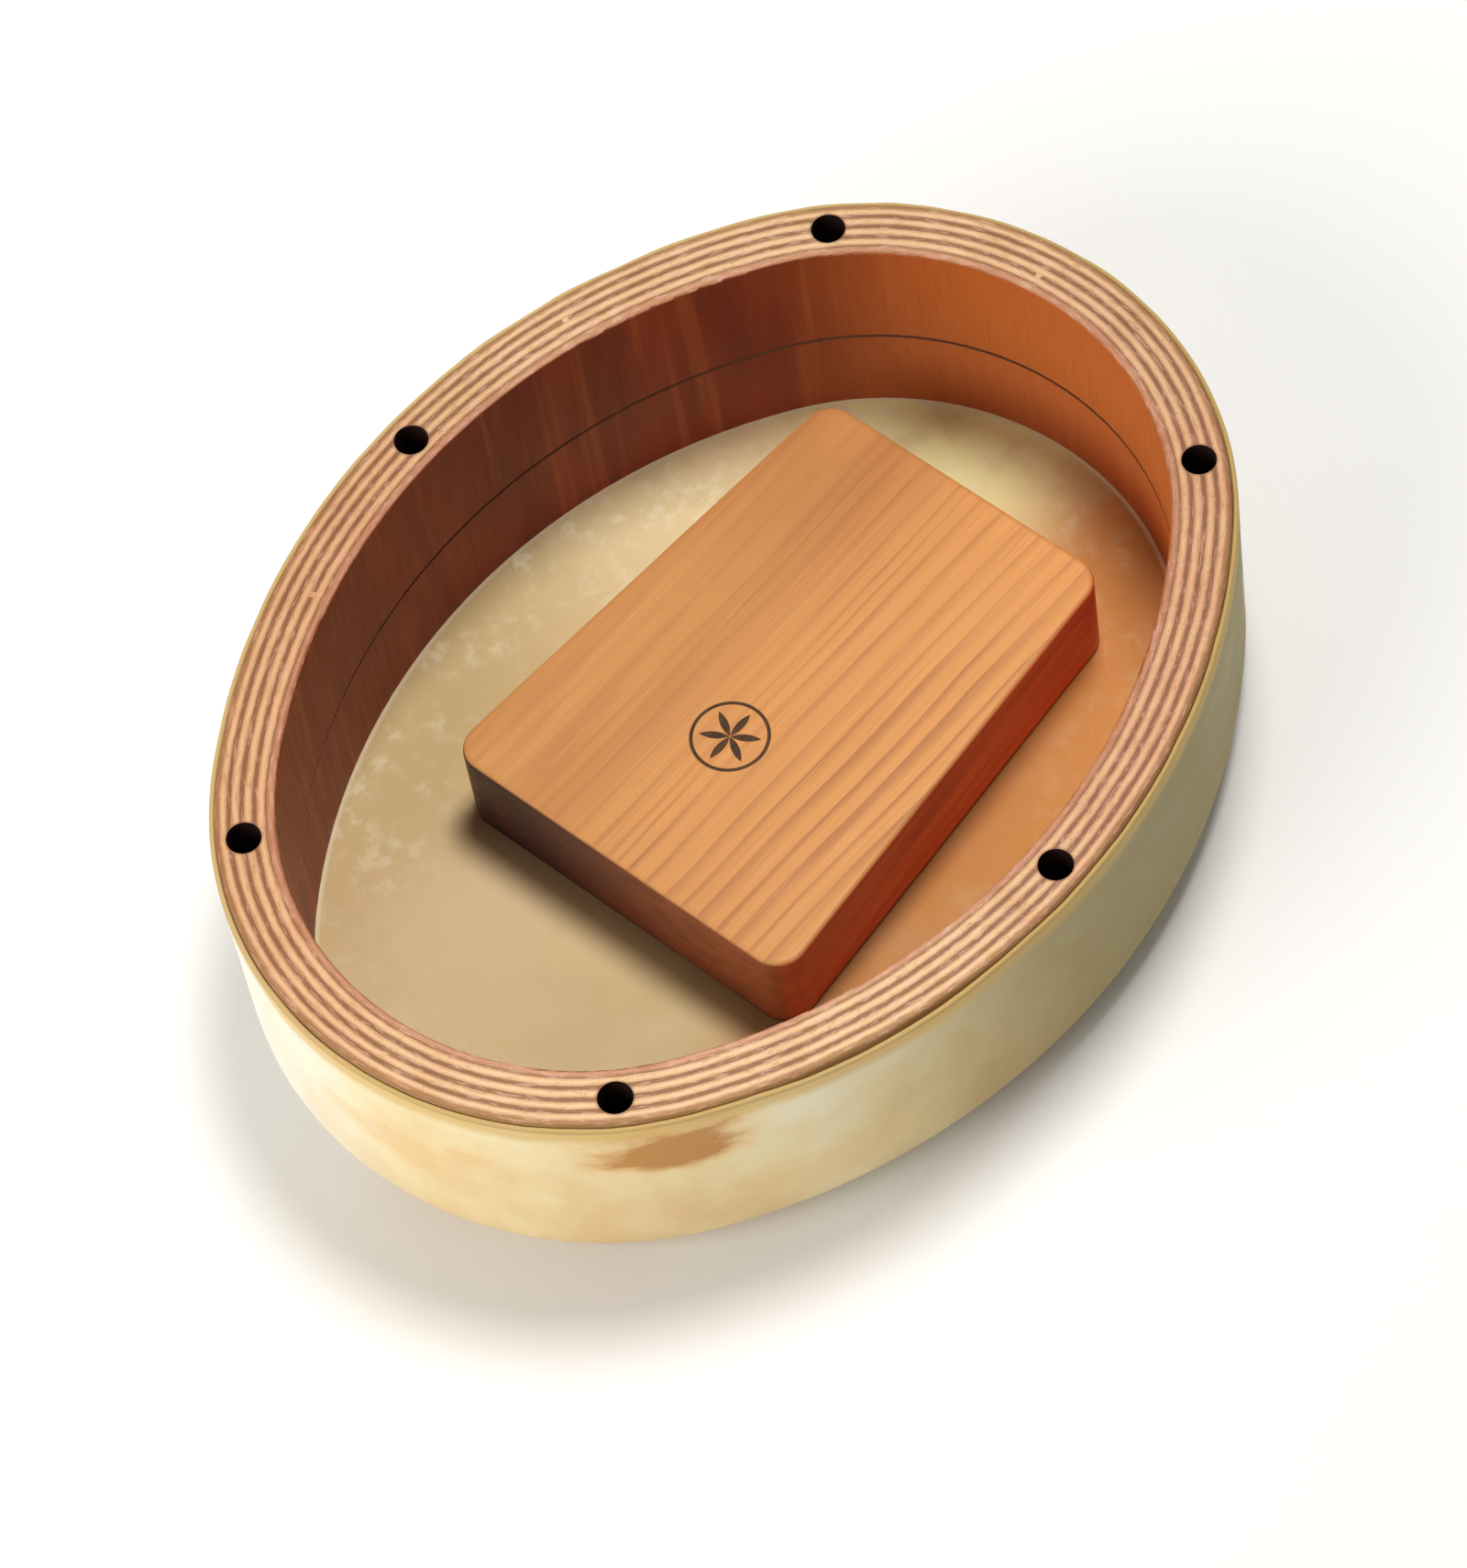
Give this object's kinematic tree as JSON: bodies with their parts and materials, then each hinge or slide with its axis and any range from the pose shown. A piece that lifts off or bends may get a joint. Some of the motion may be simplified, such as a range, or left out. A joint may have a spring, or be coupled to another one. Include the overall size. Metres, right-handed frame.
{
  "type": "frame drum",
  "caption": "Oval hand-held frame drum with a goatskin head, a bent-ply hoop, a tuning hoop driven by key screws and a wooden sound block on the head.",
  "frame": {"origin": "centre of the bounding box at the head's outer face, on which the drum stands", "axes": "+Z from the head towards the open back, +X along the oval's long axis"},
  "size_m": [0.293, 0.228, 0.068],
  "materials": {
    "hoop_wood": "satin",
    "goatskin": "matte",
    "block_wood": "satin",
    "insert_brass": "satin",
    "screw_steel": "satin"
  },
  "bodies": {
    "frame": {"frame_ring": "hoop_wood", "skin_lap": "goatskin", "insert_1": "insert_brass", "insert_2": "insert_brass", "insert_3": "insert_brass", "insert_4": "insert_brass", "insert_5": "insert_brass", "insert_6": "insert_brass"},
    "tuning_ring": {"tuning_ring": "hoop_wood", "head_skin": "goatskin", "sound_block": "block_wood", "thrust_disc_1": "screw_steel", "thrust_disc_2": "screw_steel", "thrust_disc_3": "screw_steel", "thrust_disc_4": "screw_steel", "thrust_disc_5": "screw_steel", "thrust_disc_6": "screw_steel"},
    "screw_1": {"tuning_screw_1": "screw_steel"},
    "screw_2": {"tuning_screw_2": "screw_steel"},
    "screw_3": {"tuning_screw_3": "screw_steel"},
    "screw_4": {"tuning_screw_4": "screw_steel"},
    "screw_5": {"tuning_screw_5": "screw_steel"},
    "screw_6": {"tuning_screw_6": "screw_steel"}
  },
  "joints": [
    {"name": "tuning_ring_slide", "type": "slide", "parent": "frame", "child": "tuning_ring", "axis": [0, 0, -1], "range_m": [-0.001, 0.002]},
    {"name": "screw_1_turn", "type": "hinge", "parent": "tuning_ring", "child": "screw_1", "pos_m": [0, 0.1053, 0.0291], "axis": [0, 0, -1], "range_deg": [-361, 721]},
    {"name": "screw_2_turn", "type": "hinge", "parent": "tuning_ring", "child": "screw_2", "pos_m": [-0.114, 0.0607, 0.0291], "axis": [0, 0, -1], "range_deg": [-361, 721]},
    {"name": "screw_3_turn", "type": "hinge", "parent": "tuning_ring", "child": "screw_3", "pos_m": [-0.114, -0.0607, 0.0291], "axis": [0, 0, -1], "range_deg": [-361, 721]},
    {"name": "screw_4_turn", "type": "hinge", "parent": "tuning_ring", "child": "screw_4", "pos_m": [0, -0.1053, 0.0291], "axis": [0, 0, -1], "range_deg": [-361, 721]},
    {"name": "screw_5_turn", "type": "hinge", "parent": "tuning_ring", "child": "screw_5", "pos_m": [0.114, -0.0607, 0.0291], "axis": [0, 0, -1], "range_deg": [-361, 721]},
    {"name": "screw_6_turn", "type": "hinge", "parent": "tuning_ring", "child": "screw_6", "pos_m": [0.114, 0.0607, 0.0291], "axis": [0, 0, -1], "range_deg": [-361, 721]}
  ],
  "couplings": [
    {"joint": "screw_1_turn", "follows": "tuning_ring_slide", "rad_per_m": 6283.2},
    {"joint": "screw_2_turn", "follows": "tuning_ring_slide", "rad_per_m": 6283.2},
    {"joint": "screw_3_turn", "follows": "tuning_ring_slide", "rad_per_m": 6283.2},
    {"joint": "screw_4_turn", "follows": "tuning_ring_slide", "rad_per_m": 6283.2},
    {"joint": "screw_5_turn", "follows": "tuning_ring_slide", "rad_per_m": 6283.2},
    {"joint": "screw_6_turn", "follows": "tuning_ring_slide", "rad_per_m": 6283.2}
  ]
}
